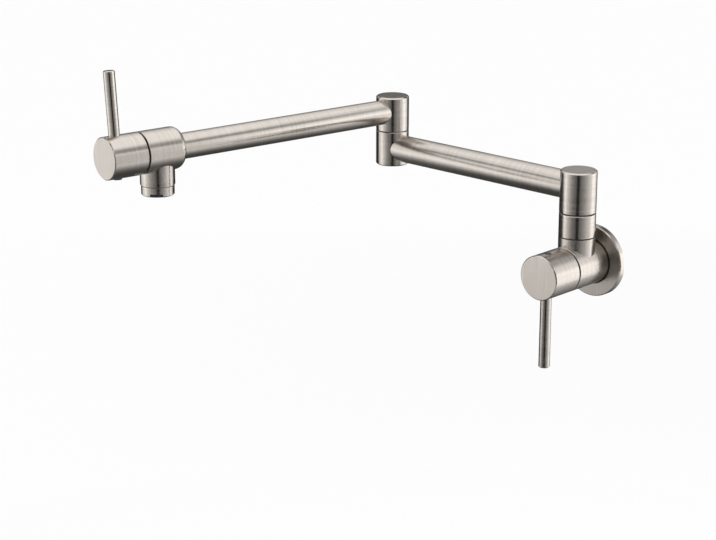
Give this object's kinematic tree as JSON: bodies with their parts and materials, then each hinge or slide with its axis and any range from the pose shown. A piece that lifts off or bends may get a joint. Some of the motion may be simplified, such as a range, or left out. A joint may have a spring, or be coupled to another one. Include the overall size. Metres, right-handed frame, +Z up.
{
  "type": "wall mounted pot filler",
  "caption": "Wall mounted pot filler tap: a round wall valve with a lever, two jointed swinging arm tubes and a shut-off valve above a turned-down aerated spout.",
  "frame": {"origin": "The middle of the threaded inlet's mouth, in the plane of the wall.", "axes": "+Y points into the wall, the tap stands out along -Y, +Z is up, and the first arm lies along -X, parallel to the wall."},
  "size_m": [0.3008, 0.3186, 0.2482],
  "materials": {
    "brushed_nickel": "brushed satin nickel plate over brass",
    "brass": "machined brass",
    "seal_rubber": "black nitrile rubber",
    "ceramic": "lapped white alumina ceramic",
    "plain_steel": "plain stainless steel",
    "dark_acetal": "dark acetal",
    "grey_plug": "dark grey nylon"
  },
  "bodies": {
    "wall_valve": {"wall_flange": "brushed_nickel", "flange_seal": "seal_rubber", "wall_valve_body": "brushed_nickel", "wall_cartridge_body": "brass", "wall_cartridge_gasket": "seal_rubber", "wall_seat_seal": "seal_rubber", "wall_fixed_disc": "ceramic", "wall_swivel_post": "brushed_nickel", "wall_swivel_seals": "seal_rubber", "wall_swivel_washer": "dark_acetal", "wall_retaining_clip": "plain_steel"},
    "wall_handle": {"wall_moving_disc": "ceramic", "wall_spindle": "brass", "wall_spindle_seal": "seal_rubber", "wall_handle_hub": "brushed_nickel", "wall_lever": "brushed_nickel", "wall_set_screw": "plain_steel", "wall_screw_plug": "grey_plug"},
    "first_arm": {"wall_head": "brushed_nickel", "wall_head_cap": "brushed_nickel", "first_arm_tube": "brushed_nickel", "elbow_lower_drum": "brushed_nickel", "elbow_swivel_post": "brass", "elbow_swivel_seals": "seal_rubber", "elbow_swivel_washer": "dark_acetal", "elbow_retaining_clip": "plain_steel"},
    "second_arm": {"elbow_upper_drum": "brushed_nickel", "elbow_head_cap": "brushed_nickel", "second_arm_tube": "brushed_nickel", "spout_body": "brushed_nickel", "spout_nozzle": "brushed_nickel", "aerator_housing": "brushed_nickel", "aerator_insert": "dark_acetal", "aerator_screen": "plain_steel", "aerator_gasket": "seal_rubber", "spout_cartridge_body": "brass", "spout_cartridge_gasket": "seal_rubber", "spout_seat_seal": "seal_rubber", "spout_fixed_disc": "ceramic"},
    "spout_handle": {"spout_moving_disc": "ceramic", "spout_spindle": "brass", "spout_spindle_seal": "seal_rubber", "spout_handle_hub": "brushed_nickel", "spout_lever": "brushed_nickel", "spout_set_screw": "plain_steel", "spout_screw_plug": "grey_plug"}
  },
  "joints": [
    {"name": "wall_handle_turn", "type": "hinge", "parent": "wall_valve", "child": "wall_handle", "pos_m": [0, -0.06, 0], "axis": [0, -1, 0], "range_deg": [0, 90]},
    {"name": "first_arm_swing", "type": "hinge", "parent": "wall_valve", "child": "first_arm", "pos_m": [0, -0.026, 0.0463], "axis": [0, 0, 1], "range_deg": [0, 180]},
    {"name": "second_arm_swing", "type": "hinge", "parent": "first_arm", "child": "second_arm", "pos_m": [-0.2073, -0.026, 0.083], "axis": [0, 0, 1], "continuous": true},
    {"name": "spout_handle_turn", "type": "hinge", "parent": "second_arm", "child": "spout_handle", "pos_m": [-0.25086, -0.30259, 0.09955], "axis": [-0.1556, -0.9878, 0], "range_deg": [-5.3, 84.7]}
  ]
}
